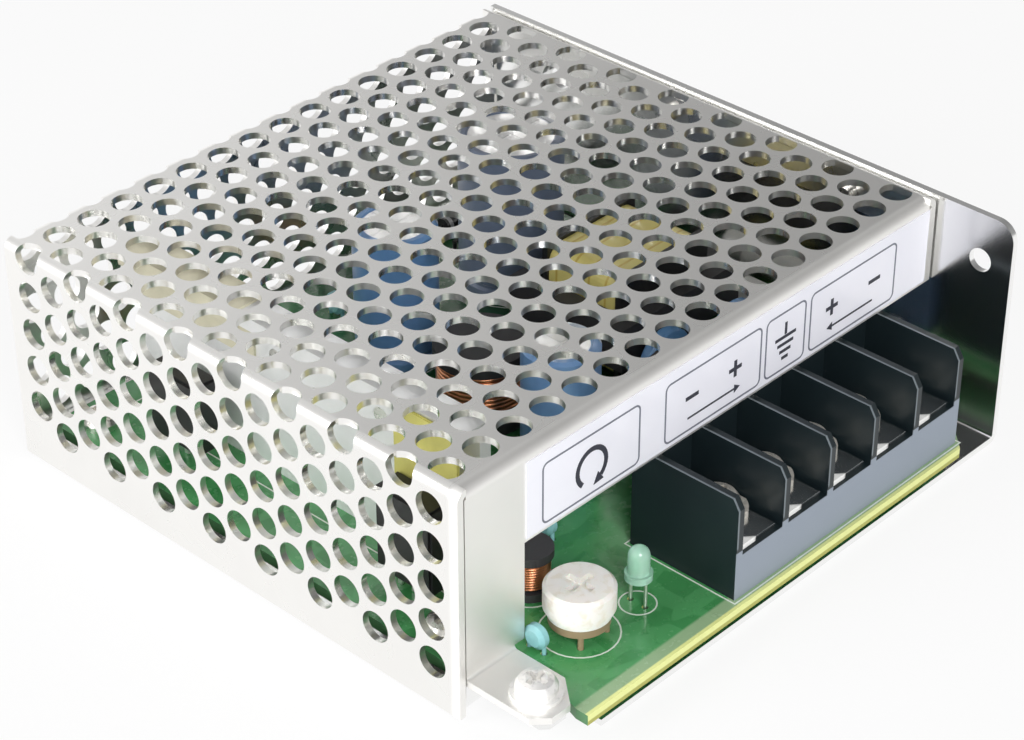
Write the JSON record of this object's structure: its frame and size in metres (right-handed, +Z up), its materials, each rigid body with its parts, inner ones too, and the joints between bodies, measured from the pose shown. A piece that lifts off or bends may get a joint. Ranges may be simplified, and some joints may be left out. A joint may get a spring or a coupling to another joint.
{
  "type": "mesh case switching power supply",
  "caption": "Enclosed switching power supply: folded metal chassis, perforated folded cover, and a front board edge with barrier terminals, a trimmer and a lamp.",
  "frame": {"origin": "under the middle of the whole unit, on the surface that it stands on", "axes": "X along the front from the perforated side to the plain wall, Y from the terminals to the back, Z up"},
  "size_m": [0.0974, 0.1008, 0.036],
  "materials": {
    "bright_sheet": "bright plated sheet, folded",
    "mesh_sheet": "bright plated perforated sheet, folded",
    "label_film": "printed polyester label",
    "screw_steel": "nickel-plated screw with captive washer",
    "film": "polyester insulating film",
    "standoff_steel": "pressed-in hexagonal stand-off",
    "board": "green solder mask on glass-epoxy laminate",
    "block_plastic": "moulded black thermoplastic",
    "contact_metal": "tinned brass",
    "trimmer_base": "phenolic base with tinned legs",
    "trimmer_cap": "white nylon",
    "lamp_lens": "tinted clear epoxy",
    "lead_metal": "tinned steel wire",
    "ferrite": "ferrite",
    "copper": "enamelled copper wire",
    "bobbin": "phenolic bobbin",
    "yellow_tape": "copper winding under yellow polyester tape",
    "can_grey": "aluminium can in a grey sleeve",
    "can_blue": "aluminium can in a blue sleeve",
    "can_pale": "aluminium can in a pale blue sleeve",
    "disc_blue": "epoxy-coated ceramic disc",
    "bead_blue": "dipped ceramic bead",
    "aluminium": "aluminium angle",
    "sleeve": "insulating sleeve",
    "device_plastic": "moulded epoxy with a tinned tab",
    "box_yellow": "box film capacitor",
    "fuse_ceramic": "ceramic fuse with plated caps",
    "thermistor": "coated disc",
    "resistor_body": "lacquered axial resistor",
    "diode_body": "moulded axial diode",
    "clamp_steel": "plated steel clamp plate"
  },
  "bodies": {
    "case": {"chassis": "bright_sheet", "cover": "mesh_sheet", "label_strip": "label_film", "cover_screw": "screw_steel", "side_screws": "screw_steel", "insulating_film": "film", "board_standoffs": "standoff_steel", "board_screws": "screw_steel", "circuit_board": "board", "terminal_block": "block_plastic", "terminal_contacts": "contact_metal", "trimmer_base": "trimmer_base", "lamp_lens": "lamp_lens", "lamp_leads": "lead_metal", "small_choke_core": "ferrite", "small_choke_winding": "copper", "transformer_core": "ferrite", "transformer_bobbin": "bobbin", "transformer_winding": "yellow_tape", "main_capacitor": "can_grey", "second_capacitor": "can_blue", "output_capacitor": "can_pale", "disc_capacitors": "disc_blue", "heat_sink": "aluminium", "sink_sleeve": "sleeve", "power_transistor": "device_plastic", "output_rectifier": "device_plastic", "device_screws": "screw_steel", "output_choke_core": "ferrite", "output_choke_winding": "copper", "line_choke_core": "ferrite", "line_choke_winding": "copper", "line_capacitor": "box_yellow", "fuse": "fuse_ceramic", "fuse_clips": "contact_metal", "thermistor": "thermistor", "optocoupler": "device_plastic", "control_chip": "device_plastic", "resistors": "resistor_body", "diodes": "diode_body", "ceramic_capacitors": "bead_blue"},
    "clamp_1": {"clamp_plate_1": "clamp_steel"},
    "screw_1": {"terminal_screw_1": "screw_steel"},
    "clamp_2": {"clamp_plate_2": "clamp_steel"},
    "screw_2": {"terminal_screw_2": "screw_steel"},
    "clamp_3": {"clamp_plate_3": "clamp_steel"},
    "screw_3": {"terminal_screw_3": "screw_steel"},
    "clamp_4": {"clamp_plate_4": "clamp_steel"},
    "screw_4": {"terminal_screw_4": "screw_steel"},
    "clamp_5": {"clamp_plate_5": "clamp_steel"},
    "screw_5": {"terminal_screw_5": "screw_steel"},
    "adjuster": {"trimmer_cap": "trimmer_cap"}
  },
  "joints": [
    {"name": "clamp_lift_1", "type": "slide", "parent": "case", "child": "clamp_1", "axis": [0, 0, 1], "range_m": [0, 0.0024]},
    {"name": "screw_turn_1", "type": "hinge", "parent": "clamp_1", "child": "screw_1", "pos_m": [-0.006, -0.0412, 0.0142], "axis": [0, 0, 1], "range_deg": [0, 1440]},
    {"name": "clamp_lift_2", "type": "slide", "parent": "case", "child": "clamp_2", "axis": [0, 0, 1], "range_m": [0, 0.0024]},
    {"name": "screw_turn_2", "type": "hinge", "parent": "clamp_2", "child": "screw_2", "pos_m": [0.0035, -0.0412, 0.0142], "axis": [0, 0, 1], "range_deg": [0, 1440]},
    {"name": "clamp_lift_3", "type": "slide", "parent": "case", "child": "clamp_3", "axis": [0, 0, 1], "range_m": [0, 0.0024]},
    {"name": "screw_turn_3", "type": "hinge", "parent": "clamp_3", "child": "screw_3", "pos_m": [0.013, -0.0412, 0.0142], "axis": [0, 0, 1], "range_deg": [0, 1440]},
    {"name": "clamp_lift_4", "type": "slide", "parent": "case", "child": "clamp_4", "axis": [0, 0, 1], "range_m": [0, 0.0024]},
    {"name": "screw_turn_4", "type": "hinge", "parent": "clamp_4", "child": "screw_4", "pos_m": [0.0225, -0.0412, 0.0142], "axis": [0, 0, 1], "range_deg": [0, 1440]},
    {"name": "clamp_lift_5", "type": "slide", "parent": "case", "child": "clamp_5", "axis": [0, 0, 1], "range_m": [0, 0.0024]},
    {"name": "screw_turn_5", "type": "hinge", "parent": "clamp_5", "child": "screw_5", "pos_m": [0.032, -0.0412, 0.0142], "axis": [0, 0, 1], "range_deg": [0, 1440]},
    {"name": "adjuster_turn", "type": "hinge", "parent": "case", "child": "adjuster", "pos_m": [-0.02975, -0.0385, 0.0088], "axis": [0, 0, 1], "range_deg": [-120, 120]}
  ],
  "couplings": [
    {"joint": "screw_turn_1", "follows": "clamp_lift_1", "rad_per_m": 10472},
    {"joint": "screw_turn_2", "follows": "clamp_lift_2", "rad_per_m": 10472},
    {"joint": "screw_turn_3", "follows": "clamp_lift_3", "rad_per_m": 10472},
    {"joint": "screw_turn_4", "follows": "clamp_lift_4", "rad_per_m": 10472},
    {"joint": "screw_turn_5", "follows": "clamp_lift_5", "rad_per_m": 10472}
  ]
}
